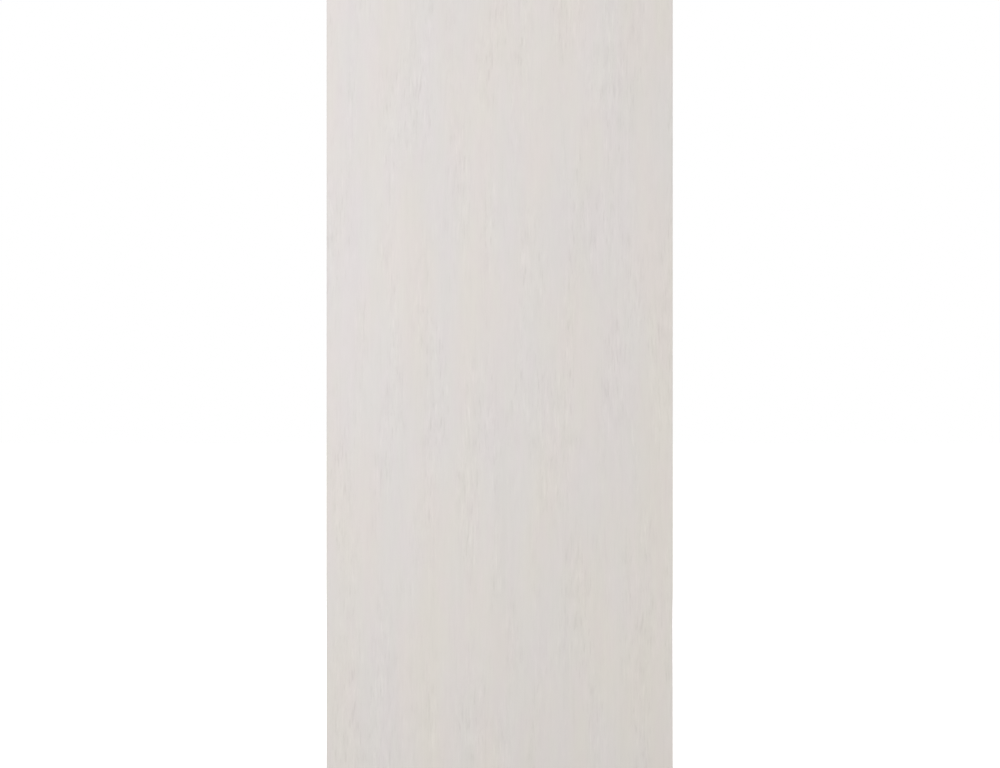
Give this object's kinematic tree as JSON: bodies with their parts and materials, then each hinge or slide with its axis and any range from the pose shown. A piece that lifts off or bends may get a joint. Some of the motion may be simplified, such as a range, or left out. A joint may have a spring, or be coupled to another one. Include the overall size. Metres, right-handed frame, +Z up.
{
  "type": "sliding barn door leaf",
  "caption": "Plain flush leaf of a sliding barn door: pale wood-grain laminate over a timber frame and solid core, with a floor-guide groove along its bottom edge.",
  "frame": {"origin": "middle of the leaf's top edge, on the top rail's upper face, where the hangers are fixed", "axes": "+Z up, +X to the right as seen from the front, the front faces -Y"},
  "size_m": [0.914, 0.035, 2.032],
  "materials": {
    "woodgrain_laminate": "matte",
    "edge_band": "matte",
    "hardboard": "matte",
    "frame_timber": "matte",
    "particleboard": "matte"
  },
  "bodies": {
    "root": {"front_laminate": "woodgrain_laminate", "back_laminate": "woodgrain_laminate", "left_edge_band": "edge_band", "right_edge_band": "edge_band", "front_crossband": "hardboard", "back_crossband": "hardboard", "left_stile": "frame_timber", "right_stile": "frame_timber", "top_rail": "frame_timber", "bottom_rail": "frame_timber", "core_board": "particleboard"}
  },
  "joints": []
}
